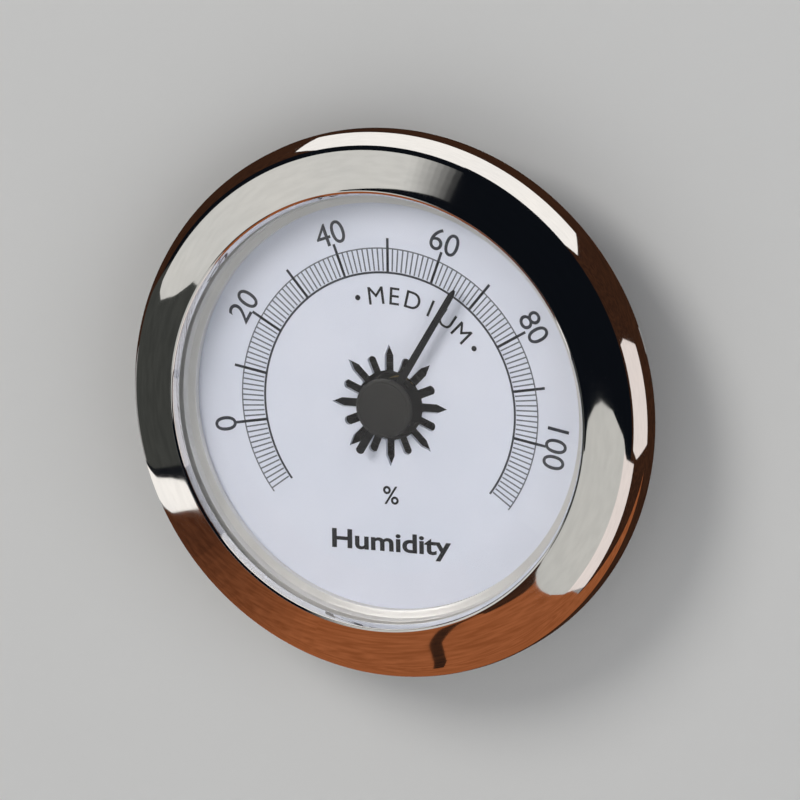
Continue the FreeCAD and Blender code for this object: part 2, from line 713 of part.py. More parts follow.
def make_pointer_arbor():
    shoulder = carrier_front + end_play
    pivot_end = carrier_front - bush_length + pivot_gap
    turned("pointer_arbor", [
        (0, pivot_end), (pivot_radius, pivot_end), (pivot_radius, shoulder),
        (arbor_radius, shoulder), (arbor_radius, needle_front), (0, needle_front),
    ])


def make_pointer():
    """The needle is drawn at 12 o'clock and turned to its reading by the body's placement."""
    body = new_body("pointer")
    blade = sketch_on(body, "XZ_Plane", "blade", needle_back)
    point_root = pointer_reach - pointer_point
    tail_end = -pointer_tail_shoulder
    outline(blade, [
        (-pointer_root_half, tail_end, -pointer_tail_round), (pointer_root_half, tail_end),
        (pointer_tip_half, point_root), (pointer_nose_half, pointer_reach),
        (-pointer_nose_half, pointer_reach), (-pointer_tip_half, point_root),
    ])
    pad(body, blade, pointer_thickness)
    eye = sketch_on(body, "XZ_Plane", "eye", needle_back)
    circle(eye, origin, origin, pointer_eye_radius)
    pad(body, eye, pointer_thickness)
    hole = sketch_on(body, "XZ_Plane", "hole", needle_front)
    circle(hole, origin, origin, hub_boss_radius)
    pocket(body, hole, pointer_thickness)
    body.Placement = FreeCAD.Placement(V(0, 0, 0), FreeCAD.Rotation(V(0, 1, 0), pointer_angle.number))
    body.setExpression("Placement.Rotation.Angle", pointer_angle.formula)


def make_pointer_hub():
    """Cap in front of the needle, with a boss that grips the arbor."""
    turned("pointer_hub", [
        (arbor_radius, needle_back - hub_boss_length), (hub_boss_radius, needle_back - hub_boss_length),
        (hub_boss_radius, needle_front), (hub_radius, needle_front),
        (hub_radius, hub_front - small_chamfer), (hub_radius - small_chamfer, hub_front),
        (0, hub_front), (0, needle_front), (arbor_radius, needle_front),
    ])


MAKERS = [
    make_adhesive_pad, make_steel_disc, make_ring_magnet, make_rear_case, make_bezel, make_lens,
    make_lens_gasket, make_spacer_ring, make_dial, make_movement_bridge, make_bridge_screws,
    make_front_bush, make_calibration_screw, make_friction_washer, make_coil_carrier, make_coil_stud,
    make_rear_bush, make_humidity_coil, make_coil_collet, make_pointer_arbor, make_pointer,
    make_pointer_hub,
]


def check_document(nodes):
    for item in doc.Objects:
        if "Invalid" in item.State or "Error" in item.State:
            raise ValueError(f"{item.Name}: {item.State}")
    for node in nodes:
        if node.Shape.isNull() or not node.Shape.isValid() or not node.Shape.Solids:
            raise ValueError(f"{node.Label} has no sound shape")


def main():
    for make in MAKERS:
        make()
    doc.recompute()
    labels = [make.__name__.removeprefix("make_") for make in MAKERS]
    nodes = [doc.getObjectsByLabel(label)[0] for label in labels]
    check_document(nodes)
    os.makedirs("parts", exist_ok=True)
    for node in nodes:
        node.Shape.exportStep(f"parts/{node.Label}.step")
        print(f"{node.Label:20s} {len(node.Shape.Solids)} solid  {node.Shape.Volume:9.2f} mm3")


main()
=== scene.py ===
import math

import bmesh
import bpy
from mathutils import Matrix, Vector, noise


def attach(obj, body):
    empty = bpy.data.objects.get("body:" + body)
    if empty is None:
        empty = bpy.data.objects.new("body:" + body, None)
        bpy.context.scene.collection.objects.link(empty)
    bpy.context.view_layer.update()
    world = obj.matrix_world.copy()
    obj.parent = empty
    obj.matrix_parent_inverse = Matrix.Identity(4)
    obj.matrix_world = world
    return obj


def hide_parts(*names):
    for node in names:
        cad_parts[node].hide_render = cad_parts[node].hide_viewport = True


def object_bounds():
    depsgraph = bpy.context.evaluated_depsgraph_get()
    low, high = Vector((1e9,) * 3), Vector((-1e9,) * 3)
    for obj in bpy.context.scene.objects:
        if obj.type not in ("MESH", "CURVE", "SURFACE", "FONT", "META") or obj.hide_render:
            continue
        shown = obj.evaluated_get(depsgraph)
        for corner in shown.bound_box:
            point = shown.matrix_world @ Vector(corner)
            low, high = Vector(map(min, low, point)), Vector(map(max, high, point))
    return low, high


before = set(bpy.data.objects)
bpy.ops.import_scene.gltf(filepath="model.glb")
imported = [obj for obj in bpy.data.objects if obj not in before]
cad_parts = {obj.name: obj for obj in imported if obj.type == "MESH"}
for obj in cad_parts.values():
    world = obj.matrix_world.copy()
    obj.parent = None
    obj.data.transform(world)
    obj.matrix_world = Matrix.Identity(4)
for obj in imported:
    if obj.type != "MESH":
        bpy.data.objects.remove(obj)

CAD_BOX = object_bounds()

# The object is written in millimetres, with depth d meaning y = -d, and made
# into metres by MM. The studio round it is in metres. Clock angles run
# clockwise from 12 o'clock as the reader of the dial sees them.
MM = 0.001

# Depths of the faces where pieces meet, and the window's radius.
DIAL_FACE = 7.6
WINDOW_BACK = 9.2
SPACER_SHOULDER = 9.5
WINDOW_FRONT = 10.0
WINDOW_RADIUS = 21.2

# Facets round a full turn: fewer on the small hub, more where the plating
# mirrors and round the pad's ragged edge.
SEGMENTS = 240
BEZEL_SEGMENTS = 360
HUB_SEGMENTS = 144
PAD_SEGMENTS = 480

# The foam pad's faces are flat inside this radius.
PAD_FLAT_RADIUS = 13

# CAD nodes: how near in metres two points count as one, and from which angle an
# edge is rounded.
SAME_POINT = 1e-7
SHARP_EDGE_DEG = 40

# Dial print: film thickness, scale angles and the radii of its parts.
INK = 0.02
INK_TOP = DIAL_FACE + INK
DEGREES_PER_FACET = 1.5
DEGREES_PER_PERCENT = 2.0
ZERO_AT = -100.0
BAND_END = 127.5
FINE_TICKS = (12.3, 14.3)
OUTER_ARC = (14.3, 14.42)
INNER_ARC = (12.05, 12.24)
TENS_TICKS = (12.24, 15.3)
FINE_TICK_WIDTH = 0.13
TENS_TICK_WIDTH = 0.24
NUMERAL_RADIUS = 16.35
NUMERAL_HEIGHT = 2.2
WORD_RADIUS = 10.1
WORD_HEIGHT = 1.7

# Blender's own font: cap height, and the depth letters are drawn with.
CAP_HEIGHT = 0.729
FONT_EXTRUDE = 0.01

# From the object towards the main camera.
VIEW = Vector((0.384, -0.898, 0.214))
CAMERA_DISTANCE = 1.395
CAMERA_LENS = 700
CAMERA_ROLL = -0.8

# Roughly where the ring's crowned face is. The glowing cards that paint the ring's reflections are
# placed from there, with one facet for so many degrees of clock angle and of tilt.
FACE_RADIUS = 22.5
FACE_DEPTH = 10
CARD_CLOCK_STEP = 4
CARD_TILT_STEP = 5


# ---------------------------------------------------------------- materials


class Look:
    """One procedural material: a Principled shader and the textures behind it."""

    def __init__(self, name, metallic=0.0, **constants):
        self.material = bpy.data.materials.new(name)
        self.material.use_nodes = True
        self.nodes = self.material.node_tree.nodes
        self.links = self.material.node_tree.links
        self.nodes.clear()
        self.shader = self.nodes.new("ShaderNodeBsdfPrincipled")
        self.output = self.nodes.new("ShaderNodeOutputMaterial")
        self.links.new(self.shader.outputs["BSDF"], self.output.inputs["Surface"])
        self.shader.inputs["Metallic"].default_value = metallic
        for socket, value in constants.items():
            self.shader.inputs[socket.replace("_", " ")].default_value = value
        self.place = self.nodes.new("ShaderNodeTexCoord").outputs["Object"]

    def stretched(self, scale):
        """Object coordinates, in units of 1/scale along each axis."""
        mapping = self.nodes.new("ShaderNodeMapping")
        mapping.inputs["Scale"].default_value = scale
        self.links.new(self.place, mapping.inputs["Vector"])
        return mapping.outputs["Vector"]

    def noise(self, size_mm, detail=3.0, squeeze=(1, 1, 1)):
        """Cloudy variation with features of about that size."""
        texture = self.nodes.new("ShaderNodeTexNoise")
        texture.inputs["Scale"].default_value = 1.0
        texture.inputs["Detail"].default_value = detail
        scale = 1.0 / (size_mm * MM)
        self.links.new(self.stretched([scale * s for s in squeeze]), texture.inputs["Vector"])
        return texture.outputs["Fac"]

    def cells(self, size_mm):
        """Distance to the nearest of many scattered points, for grains and pores."""
        texture = self.nodes.new("ShaderNodeTexVoronoi")
        texture.inputs["Scale"].default_value = 1.0
        scale = 1.0 / (size_mm * MM)
        self.links.new(self.stretched([scale] * 3), texture.inputs["Vector"])
        return texture.outputs["Distance"]

    def math(self, operation, first, second=0.0):
        """One sum on sockets or plain numbers."""
        node = self.nodes.new("ShaderNodeMath")
        node.operation = operation
        for socket, value in zip(node.inputs, (first, second)):
            if isinstance(value, float):
                socket.default_value = value
            else:
                self.links.new(value, socket)
        return node.outputs[0]

    def turning_marks(self, pitch_mm):
        """Fine rings about the object's axis, as a lathe leaves them."""
        flat = self.nodes.new("ShaderNodeVectorMath")
        flat.operation = "MULTIPLY"
        flat.inputs[1].default_value = (1, 0, 1)
        self.links.new(self.place, flat.inputs[0])
        radius = self.nodes.new("ShaderNodeVectorMath")
        radius.operation = "LENGTH"
        self.links.new(flat.outputs[0], radius.inputs[0])
        phase = self.math("MULTIPLY", radius.outputs["Value"], 2 * math.pi / (pitch_mm * MM))
        return self.math("SINE", phase)

    def between(self, amount, low, high):
        """A number that goes from low to high as amount goes through its middle range."""
        node = self.nodes.new("ShaderNodeMapRange")
        node.inputs["From Min"].default_value = 0.3
        node.inputs["From Max"].default_value = 0.7
        node.inputs["To Min"].default_value = low
        node.inputs["To Max"].default_value = high
        self.links.new(amount, node.inputs["Value"])
        return node.outputs["Result"]

    def colour(self, amount, low, high, from_low=0.3, from_high=0.7):
        """Drives the base colour from low to high."""
        ramp = self.nodes.new("ShaderNodeValToRGB")
        first, last = ramp.color_ramp.elements
        first.position, last.position = from_low, from_high
        first.color, last.color = (*low, 1), (*high, 1)
        self.links.new(amount, ramp.inputs["Fac"])
        self.links.new(ramp.outputs["Color"], self.shader.inputs["Base Color"])

    def roughness(self, amount, low, high):
        """Drives the roughness from low to high."""
        self.links.new(self.between(amount, low, high), self.shader.inputs["Roughness"])

    def relief(self, amount, depth_mm, strength=1.0):
        """Shallow surface relief; several calls add up."""
        bump = self.nodes.new("ShaderNodeBump")
        bump.inputs["Strength"].default_value = strength
        bump.inputs["Distance"].default_value = depth_mm * MM
        self.links.new(amount, bump.inputs["Height"])
        normal = self.shader.inputs["Normal"]
        if normal.is_linked:
            self.links.new(normal.links[0].from_socket, bump.inputs["Normal"])
        self.links.new(bump.outputs["Normal"], normal)


def chrome_look():
    """Bright plating with handling haze and hairline polishing marks."""
    look = Look("chrome_plating", metallic=1.0)
    look.colour(look.noise(6), (0.83, 0.84, 0.86), (0.88, 0.88, 0.89))
    look.roughness(look.noise(2.5, 6.0), 0.025, 0.06)
    look.relief(look.noise(0.25, 4.0, (1, 6, 1)), 0.002, 0.06)
    return look.material


def window_look():
    """Clear window: lamps shine straight through it onto the dial."""
    look = Look("clear_window", Transmission_Weight=1.0, IOR=1.45)
    look.colour(look.noise(12), (0.985, 0.99, 0.995), (1, 1, 1))
    look.roughness(look.noise(3, 6.0), 0.0, 0.012)
    clear = look.nodes.new("ShaderNodeBsdfTransparent")
    path = look.nodes.new("ShaderNodeLightPath")
    mix = look.nodes.new("ShaderNodeMixShader")
    look.links.new(path.outputs["Is Shadow Ray"], mix.inputs["Fac"])
    look.links.new(look.shader.outputs["BSDF"], mix.inputs[1])
    look.links.new(clear.outputs["BSDF"], mix.inputs[2])
    look.links.new(mix.outputs["Shader"], look.output.inputs["Surface"])
    return look.material


def dial_look():
    """White enamelled sheet with a faint coat and orange peel."""
    look = Look("dial_enamel", Coat_Weight=0.15, Coat_Roughness=0.25)
    look.colour(look.noise(5, 5.0), (0.765, 0.80, 0.91), (0.80, 0.83, 0.94))
    look.roughness(look.noise(1.2), 0.36, 0.46)
    look.relief(look.noise(0.35, 2.0), 0.004, 0.35)
    return look.material


def ink_look(name, low, high):
    """Matt screen-printed ink, a little uneven in density."""
    look = Look(name, Specular_IOR_Level=0.2)
    look.colour(look.noise(0.5, 4.0), low, high)
    look.roughness(look.noise(0.8), 0.45, 0.6)
    look.relief(look.noise(0.08), 0.003, 0.4)
    return look.material


def turned_look(name, low, high, smooth, rough, pitch_mm, metallic=1.0):
    """Metal with lathe marks and a little unevenness."""
    look = Look(name, metallic=metallic)
    look.colour(look.noise(3, 5.0), low, high)
    look.roughness(look.noise(1.0, 4.0), smooth, rough)
    look.relief(look.turning_marks(pitch_mm), 0.003, 0.5)
    look.relief(look.noise(0.3, 4.0), 0.002, 0.3)
    return look.material


def satin_look(name, low, high, smooth, rough):
    """Dull lacquered metal with an even sheen and hardly any texture."""
    look = Look(name, metallic=0.55)
    look.colour(look.noise(4, 4.0), low, high)
    look.roughness(look.noise(2.0, 3.0), smooth, rough)
    look.relief(look.noise(0.2, 2.0), 0.001, 0.1)
    return look.material


def plastic_look(name, low, high, smooth, rough, grain_mm, sheen=0.3):
    """Moulded plastic with a fine eroded texture."""
    look = Look(name, IOR=1.49, Specular_IOR_Level=sheen)
    look.colour(look.noise(4, 6.0), low, high)
    look.roughness(look.noise(0.9, 5.0), smooth, rough)
    look.relief(look.noise(grain_mm, 3.0), 0.012, 0.55)
    look.relief(look.noise(2.2, 2.0), 0.01, 0.2)
    return look.material


def ferrite_look():
    """Sintered magnet: dark grey with fine pores."""
    look = Look("ferrite")
    look.colour(look.noise(0.4, 6.0), (0.055, 0.055, 0.06), (0.12, 0.118, 0.12))
    look.roughness(look.noise(0.6, 5.0), 0.42, 0.68)
    look.relief(look.cells(0.25), 0.01, 0.4)
    return look.material


def rolled_look(name, low, high, smooth, rough, grain, metallic=1.0):
    """Sheet or strip metal with rolling grain along one direction."""
    look = Look(name, metallic=metallic)
    look.colour(look.noise(1.5, 5.0), low, high)
    look.roughness(look.noise(0.8, 5.0, grain), smooth, rough)
    look.relief(look.noise(0.15, 3.0, grain), 0.003, 0.5)
    return look.material


def foam_look():
    """Closed-cell foam: pale, dull and finely pitted."""
    look = Look("foam_tape", Subsurface_Weight=0.15, Subsurface_Scale=0.0008)
    look.colour(look.cells(0.22), (0.80, 0.80, 0.77), (0.90, 0.90, 0.87), 0.1, 0.6)
    look.roughness(look.noise(0.5), 0.75, 0.92)
    look.relief(look.cells(0.22), 0.04, 0.6)
    return look.material


def studio_look(name, colour):
    """A plain matt stage surface with a trace of unevenness."""
    look = Look(name)
    dark = tuple(0.985 * c for c in colour)
    look.colour(look.noise(60), dark, colour)
    look.roughness(look.noise(30), 0.7, 0.8)
    return look


LOOKS = {
    "chrome": chrome_look(),
    "window": window_look(),
    "dial_white": dial_look(),
    "silver_ring": satin_look(
        "satin_aluminium", (0.70, 0.69, 0.67), (0.76, 0.75, 0.73), 0.36, 0.44
    ),
    "black_plastic": plastic_look(
        "black_plastic", (0.016, 0.016, 0.017), (0.03, 0.03, 0.032), 0.38, 0.56, 0.12
    ),
    "charcoal_plastic": plastic_look(
        "charcoal_plastic", (0.017, 0.0165, 0.016), (0.027, 0.026, 0.024), 0.42, 0.56, 0.15
    ),
    "black_steel": plastic_look(
        "black_lacquer", (0.004, 0.004, 0.005), (0.009, 0.009, 0.011), 0.5, 0.65, 0.1, 0.12
    ),
    "bright_steel": turned_look(
        "bright_steel", (0.56, 0.56, 0.58), (0.66, 0.66, 0.68), 0.15, 0.28, 0.05
    ),
    "zinc_steel": turned_look(
        "zinc_plate", (0.52, 0.54, 0.58), (0.68, 0.68, 0.66), 0.24, 0.42, 0.3
    ),
    "ferrite": ferrite_look(),
    "brass": turned_look(
        "turned_brass", (0.62, 0.45, 0.19), (0.76, 0.58, 0.30), 0.18, 0.34, 0.08
    ),
    # Brass painted near black: painted shade for the movement parts that sit behind the dial.
    "blackened_brass": turned_look(
        "blackened_brass", (0.02, 0.018, 0.02), (0.045, 0.04, 0.04), 0.4, 0.55, 0.08, 0.4
    ),
    "spring_bronze": rolled_look(
        "spring_bronze", (0.48, 0.29, 0.15), (0.64, 0.42, 0.24), 0.25, 0.4, (1, 1, 8)
    ),
    "coil_strip": rolled_look(
        "coil_strip", (0.02, 0.019, 0.022), (0.05, 0.046, 0.05), 0.4, 0.6, (1, 8, 1), 0.3
    ),
    "gasket_rubber": plastic_look(
        "gasket_rubber", (0.52, 0.52, 0.50), (0.58, 0.58, 0.56), 0.7, 0.85, 0.2
    ),
    "foam": foam_look(),
}
DARK_INK = ink_look("dark_ink", (0.030, 0.033, 0.045), (0.055, 0.058, 0.075))
BLACK_INK = ink_look("black_ink", (0.006, 0.006, 0.009), (0.012, 0.012, 0.016))
SCALE_INK = ink_look("scale_ink", (0.13, 0.14, 0.17), (0.19, 0.20, 0.23))


# ------------------------------------------------------------------ meshes


def along_arc(start, end, radius, steps):
    """Points of an arc from start to end, start left out.

    It bulges to the left of the run, or to the right if radius is negative.
    """
    a, b = Vector(start), Vector(end)
    run = b - a
    left = Vector((-run.y, run.x)).normalized()
    height = math.sqrt(radius * radius - run.length_squared / 4)
    centre = (a + b) / 2 - left * height * math.copysign(1, radius)
    from_centre = a - centre
    sweep = 2 * math.asin(run.length / (2 * abs(radius))) * -math.copysign(1, radius)
    turned = [Matrix.Rotation(sweep * i / steps, 2) @ from_centre for i in range(1, steps + 1)]
    return [tuple(centre + t) for t in turned]


def softened(corners, steps=4):
    """The outline through (radius, depth, fillet) corners, each rounded by its fillet.

    The outline is closed, so the last corner is followed by the first.
    """
    points = []
    for i, (radius, depth, fillet) in enumerate(corners):
        corner = Vector((radius, depth))
        if not fillet:
            points.append((radius, depth))
            continue
        before = Vector(corners[i - 1][:2]) - corner
        after = Vector(corners[(i + 1) % len(corners)][:2]) - corner
        half_angle = before.angle(after) / 2
        cut = min(fillet / math.tan(half_angle), before.length * 0.45, after.length * 0.45)
        start = corner + before.normalized() * cut
        end = corner + after.normalized() * cut
        for k in range(steps + 1):
            t = k / steps
            points.append(tuple(start * (1 - t) ** 2 + corner * 2 * t * (1 - t) + end * t * t))
    return points


def new_object(name, mesh, slot, body):
    """Puts a mesh in the scene as a piece with that finish, riding on that body."""
    piece = bpy.data.objects.new(name, mesh)
    bpy.context.scene.collection.objects.link(piece)
    mesh.materials.append(LOOKS[slot])
    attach(piece, body)
    return piece


def even_normals(piece):
    """Shades a piece smoothly, with its large faces kept flat."""
    modifier = piece.modifiers.new("normals", "WEIGHTED_NORMAL")
    modifier.mode = "FACE_AREA"
    modifier.weight = 50


def lathe(name, outline, slot, body, segments=SEGMENTS, wobble=None):
    """Turns a closed (radius, depth) outline about the object's axis into a smooth mesh."""
    form = bmesh.new()
    rings = []
    for radius, depth in outline:
        if radius == 0:
            rings.append([form.verts.new((0, -depth * MM, 0))])
            continue
        ring = []
        for i in range(segments):
            angle = 2 * math.pi * i / segments
            r = radius + (wobble(radius, depth, angle) if wobble else 0.0)
            x, z = r * MM * math.sin(angle), r * MM * math.cos(angle)
            ring.append(form.verts.new((x, -depth * MM, z)))
        rings.append(ring)
    for inner, outer in zip(rings, rings[1:] + rings[:1]):
        for i in range(segments):
            loop = [inner[i % len(inner)], inner[(i + 1) % len(inner)]]
            loop += [outer[(i + 1) % len(outer)], outer[i % len(outer)]]
            corners = list(dict.fromkeys(loop))
            if len(corners) > 2:
                form.faces.new(corners)
    bmesh.ops.recalc_face_normals(form, faces=form.faces)
    mesh = bpy.data.meshes.new(name)
    form.to_mesh(mesh)
    form.free()
    mesh.shade_smooth()
    piece = new_object(name, mesh, slot, body)
    even_normals(piece)
    return piece


def make_bezel():
    """Spun and plated ring: hem, side wall, rounded shoulder, crowned face and rolled lip."""
    hem_inner, hem_outer = (23.3, 6.1), (24.86, 6.1)
    side_foot, side_top = (25.0, 6.24), (25.0, 7.109)
    face_outer, face_inner = (23.445, 9.738), (20.195, 10.992)
    roll_end = (19.854, 10.827)
    lip = [(19.6, 10.27), (19.57, 10.2)]
    behind = [(21.3, 10.2), (23.0, 9.0), (24.2, 7.6), (24.2, 6.5), (23.3, 6.5)]
    outline = [hem_inner, hem_outer]
    outline += along_arc(hem_outer, side_foot, -0.14, 4)
    outline += [side_top]
    outline += along_arc(side_top, face_outer, -3.0, 28)
    outline += along_arc(face_outer, face_inner, -13.0, 28)
    outline += along_arc(face_inner, roll_end, -0.3, 12)
    outline += lip + behind
    piece = lathe("bezel_plated", outline, "chrome", "case", BEZEL_SEGMENTS)
    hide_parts("bezel")


def make_window():
    """Flat glass disc with ground edges, a hair clear of what holds it."""
    gap, ground = 0.005, 0.1
    back, front = WINDOW_BACK + gap, WINDOW_FRONT - gap
    corners = [
        (0, back, 0),
        (WINDOW_RADIUS, back, ground),
        (WINDOW_RADIUS, front, ground),
        (0, front, 0),
    ]
    piece = lathe("window_glass", softened(corners), "window", "case")
    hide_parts("lens")


def make_spacer():
    """Stepped bright ring between the dial and the window, relieved at its foot."""
    corners = [
        (18.72, DIAL_FACE, 0.0),
        (18.6, 7.74, 0.04),
        (18.64, 8.36, 0.06),
        (18.95, 8.45, 0.05),
        (19.3, 8.55, 0.05),
        (19.45, WINDOW_BACK, 0.06),
        (21.3, WINDOW_BACK, 0.0),
        (21.3, SPACER_SHOULDER, 0.04),
        (22.2, SPACER_SHOULDER, 0.05),
        (23.8, DIAL_FACE, 0.04),
    ]
    piece = lathe("spacer_turned", softened(corners), "silver_ring", "case")
    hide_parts("spacer_ring")


def make_hub():
    """Domed cap over the needle's eye, with a shallow turned rim and a boss behind."""
    boss, underside, crown = 8.15, 8.75, 9.15
    corners = [
        (0, boss, 0),
        (0.9, boss, 0.05),
        (0.9, underside, 0.0),
        (2.7, underside, 0.05),
        (2.7, 8.98, 0.12),
        (2.42, 9.1, 0.06),
        (2.3, 9.06, 0.03),
        (2.18, 9.09, 0.04),
        (1.2, crown, 0.6),
        (0, crown, 0),
    ]
    piece = lathe("hub_cap", softened(corners), "charcoal_plastic", "needle", HUB_SEGMENTS)
    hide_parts("pointer_hub")


def ragged_edge(radius, depth, angle):
    """How far the foam's cut edge stands back at one point; its flat faces stay true."""
    if radius < PAD_FLAT_RADIUS:
        return 0.0
    deepest, pits = 0.09, 3
    spot = Vector((9 * math.sin(angle), depth * 4, 9 * math.cos(angle)))
    return -deepest * abs(noise.noise(spot * pits))


def make_foam_pad():
    """Double-sided foam disc: two adhesive skins and a pitted, slightly drawn-in edge."""
    rim, skin_rim, foam_rim, drawn_in = 13.9, 13.97, 13.84, 0.05
    skin, foam, front = 0.1, 0.6, 0.8
    rings = 8
    outline = [(0, 0), (rim, 0), (skin_rim, 0.02), (skin_rim, 0.06), (rim, skin)]
    for i in range(1, rings):
        radius = foam_rim - drawn_in * math.sin(math.pi * i / rings)
        outline.append((radius, skin + foam * i / rings))
    outline += [(rim, 0.7), (skin_rim, 0.74), (skin_rim, 0.78), (rim, front), (0, front)]
    piece = lathe("foam_pad", outline, "foam", "mount_plate", PAD_SEGMENTS, ragged_edge)
    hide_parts("adhesive_pad")


# ------------------------------------------------------------- dial print


def dial_point(radius, angle_deg, depth):
    """The point at a radius, clock angle and depth."""
    angle = math.radians(angle_deg)
    return (radius * MM * math.sin(angle), -depth * MM, radius * MM * math.cos(angle))


def ink_tube(form, sections):
    """Closes a run of four-cornered sections into one solid film."""
    for one, two in zip(sections, sections[1:]):
        for k in range(4):
            form.faces.new((one[k], one[(k + 1) % 4], two[(k + 1) % 4], two[k]))
    form.faces.new(sections[0])
    form.faces.new(sections[-1][::-1])


def ink_arc(form, near, far, from_deg, to_deg):
    """A film of ink between two radii and two clock angles."""
    steps = round((to_deg - from_deg) / DEGREES_PER_FACET)
    sections = []
    for i in range(steps + 1):
        angle = from_deg + (to_deg - from_deg) * i / steps
        corners = [(near, DIAL_FACE), (far, DIAL_FACE), (far, INK_TOP), (near, INK_TOP)]
        sections.append([form.verts.new(dial_point(r, angle, d)) for r, d in corners])
    ink_tube(form, sections)


def ink_bar(form, near, far, width_mm, angle_deg):
    """A straight radial tick of even width."""
    sections = []
    for radius in (near, far):
        half = math.degrees(math.asin(width_mm / 2 / radius))
        corners = [(-half, DIAL_FACE), (half, DIAL_FACE), (half, INK_TOP), (-half, INK_TOP)]
        sections.append([form.verts.new(dial_point(radius, angle_deg + a, d)) for a, d in corners])
    ink_tube(form, sections)


def ink_dot(form, radius, angle_deg, size_mm):
    """A round dot of ink."""
    centre = Vector(dial_point(radius, angle_deg, DIAL_FACE + INK / 2))
    half = size_mm / 2 * MM
    bmesh.ops.create_cone(
        form,
        cap_ends=True,
        segments=20,
        radius1=half,
        radius2=half,
        depth=INK * MM,
        matrix=Matrix.Translation(centre) @ Matrix.Rotation(math.pi / 2, 4, "X"),
    )


def glyphs(text, height_mm, weight):
    """The letters of text as a thin closed mesh, centred and facing the reader.

    Capitals are height_mm high, and weight thickens the strokes.
    """
    curve = bpy.data.curves.new("glyphs", "FONT")
    curve.body = text
    curve.resolution_u = 6
    curve.offset = weight
    curve.extrude = FONT_EXTRUDE
    maker = bpy.data.objects.new("glyphs", curve)
    bpy.context.scene.collection.objects.link(maker)
    bpy.context.view_layer.update()
    drawn = maker.evaluated_get(bpy.context.evaluated_depsgraph_get())
    mesh = bpy.data.meshes.new_from_object(drawn)
    bpy.data.objects.remove(maker)
    xs = [v.co.x for v in mesh.vertices]
    middle_x = (min(xs) + max(xs)) / 2
    scale = height_mm * MM / CAP_HEIGHT
    thick = INK * MM / (2 * FONT_EXTRUDE)
    for v in mesh.vertices:
        x, y, z = v.co
        v.co = ((x - middle_x) * scale, -z * thick, (y - CAP_HEIGHT / 2) * scale)
    return mesh


def put(form, mesh, matrix):
    """Adds a mesh to form, moved by matrix."""
    mesh.transform(matrix)
    form.from_mesh(mesh)
    bpy.data.meshes.remove(mesh)


def at_clock(radius, angle_deg):
    """Moves something drawn upright at the centre out to a clock angle, its top outwards."""
    out = Matrix.Translation((0, -(DIAL_FACE + INK / 2) * MM, radius * MM))
    return Matrix.Rotation(math.radians(angle_deg), 4, "Y") @ out


def below(distance):
    """Moves something drawn at the centre straight down the dial."""
    return Matrix.Translation((0, -(DIAL_FACE + INK / 2) * MM, -distance * MM))


def printed(name, form, material):
    """Makes a form into one piece of print on the dial, joining its touching edges."""
    touching = 2e-7
    bmesh.ops.remove_doubles(form, verts=form.verts, dist=touching)
    bmesh.ops.recalc_face_normals(form, faces=form.faces)
    mesh = bpy.data.meshes.new(name)
    form.to_mesh(mesh)
    form.free()
    piece = bpy.data.objects.new(name, mesh)
    bpy.context.scene.collection.objects.link(piece)
    mesh.materials.append(material)
    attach(piece, "case")


def print_scale():
    """One tick for each percent between two thin arcs, and longer ones each ten."""
    ticks = bmesh.new()
    count = int(BAND_END // DEGREES_PER_PERCENT)
    for i in range(-count, count + 1):
        ink_bar(ticks, *FINE_TICKS, FINE_TICK_WIDTH, i * DEGREES_PER_PERCENT)
    ink_arc(ticks, *OUTER_ARC, -BAND_END, BAND_END)
    printed("scale_ticks", ticks, SCALE_INK)
    lines = bmesh.new()
    ink_arc(lines, *INNER_ARC, -BAND_END, BAND_END)
    for tens in range(11):
        angle = ZERO_AT + 10 * tens * DEGREES_PER_PERCENT
        ink_bar(lines, *TENS_TICKS, TENS_TICK_WIDTH, angle)
    printed("scale_lines", lines, DARK_INK)


def print_numerals():
    """0 to 100 in twenties, outside the scale."""
    form = bmesh.new()
    for percent in range(0, 101, 20):
        place = at_clock(NUMERAL_RADIUS, ZERO_AT + percent * DEGREES_PER_PERCENT)
        put(form, glyphs(str(percent), NUMERAL_HEIGHT, 0.0), place)
    printed("scale_numerals", form, DARK_INK)


def print_words():
    """Plain words of no maker: what the dial shows, its unit and the middle range."""
    form = bmesh.new()
    word, middle, step = "MEDIUM", 19.0, 10.3
    for i, letter in enumerate(word):
        angle = middle + (i - (len(word) - 1) / 2) * step
        put(form, glyphs(letter, WORD_HEIGHT, 0.0), at_clock(WORD_RADIUS, angle))
    dots_from_middle, dot_size = 36, 0.5
    for side in (-dots_from_middle, dots_from_middle):
        ink_dot(form, WORD_RADIUS, middle + side, dot_size)
    unit_at, unit_weight = 8.2, 0.008
    put(form, glyphs("%", WORD_HEIGHT, unit_weight), below(unit_at))
    title_at, title_height, title_half_width, title_weight = 12.5, 1.75, 5.8, 0.024
    title = glyphs("Humidity", title_height, title_weight)
    widest = max(v.co.x for v in title.vertices)
    fit = Matrix.Scale(title_half_width * MM / widest, 4, (1, 0, 0))
    put(form, title, below(title_at) @ fit)
    printed("dial_words", form, BLACK_INK)


# ----------------------------------------------------------- CAD finishing


def finish_node(node, slot, edge_mm):
    """Gives a carried-over CAD node its finish and, if edge_mm isn't 0, fine rounded edges."""
    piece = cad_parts[node]
    piece.data.materials.clear()
    piece.data.materials.append(LOOKS[slot])
    if edge_mm:
        weld = piece.modifiers.new("weld", "WELD")
        weld.merge_threshold = SAME_POINT
        bevel = piece.modifiers.new("edges", "BEVEL")
        bevel.width = edge_mm * MM
        bevel.segments = 2
        bevel.limit_method = "ANGLE"
        bevel.angle_limit = math.radians(SHARP_EDGE_DEG)
        bevel.loop_slide = False
        even_normals(piece)


